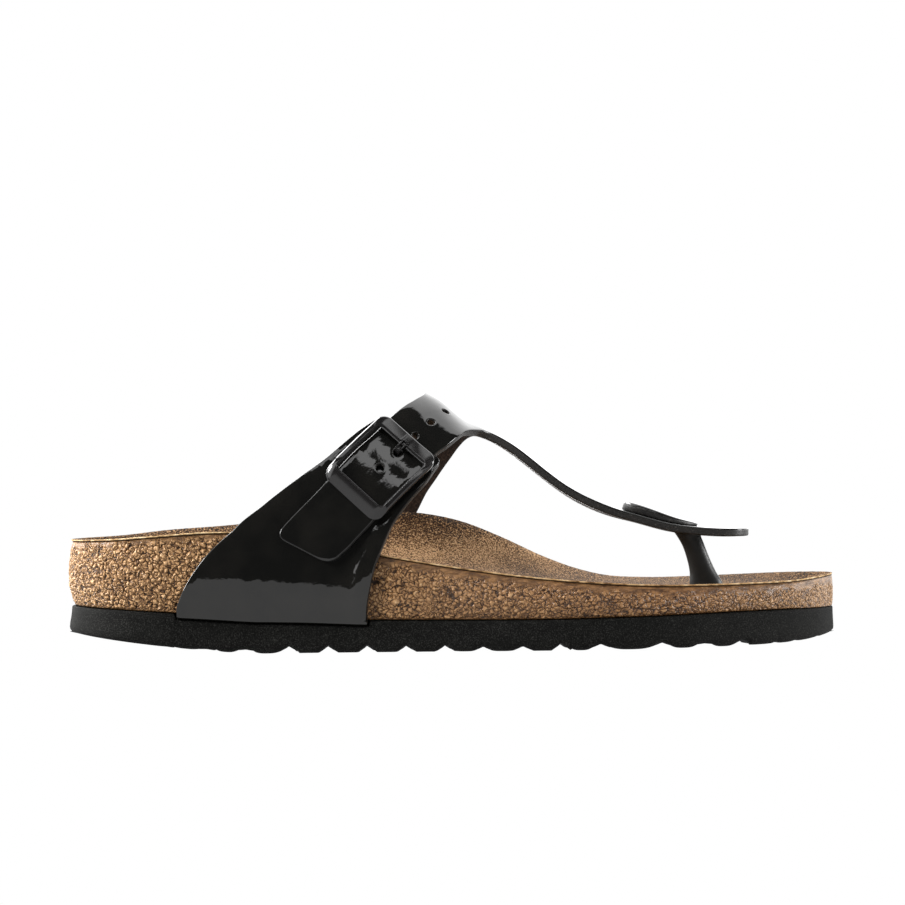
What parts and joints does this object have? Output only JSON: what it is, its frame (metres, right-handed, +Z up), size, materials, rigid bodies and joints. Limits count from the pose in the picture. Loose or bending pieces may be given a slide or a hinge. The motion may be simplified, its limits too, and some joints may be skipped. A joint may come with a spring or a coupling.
{
  "type": "toe post sandal",
  "caption": "Flat toe post sandal with a contoured cork footbed, ribbed foam sole, buckled instep strap and a leg to the post with an oval button.",
  "frame": {"origin": "middle of the bounding box on the floor, under the sole", "axes": "+X to the toe, +Y to the inner side of the foot, +Z up"},
  "size_m": [0.255, 0.0948, 0.0839],
  "materials": {
    "foam": "matte black foam rubber with a fine speckle",
    "cork": "bare golden brown cork granules",
    "suede": "mottled brown suede",
    "patent": "black patent, mirror gloss",
    "buckle_metal": "satin black enamel with bright edges",
    "post_rubber": "satin black rubber"
  },
  "bodies": {
    "root": {"outsole": "foam", "footbed": "cork", "liner": "suede", "quarter": "patent", "thong_strap": "patent", "buckle_frame": "buckle_metal", "buckle_prong": "buckle_metal", "toe_post": "post_rubber", "post_button": "patent"}
  },
  "joints": []
}
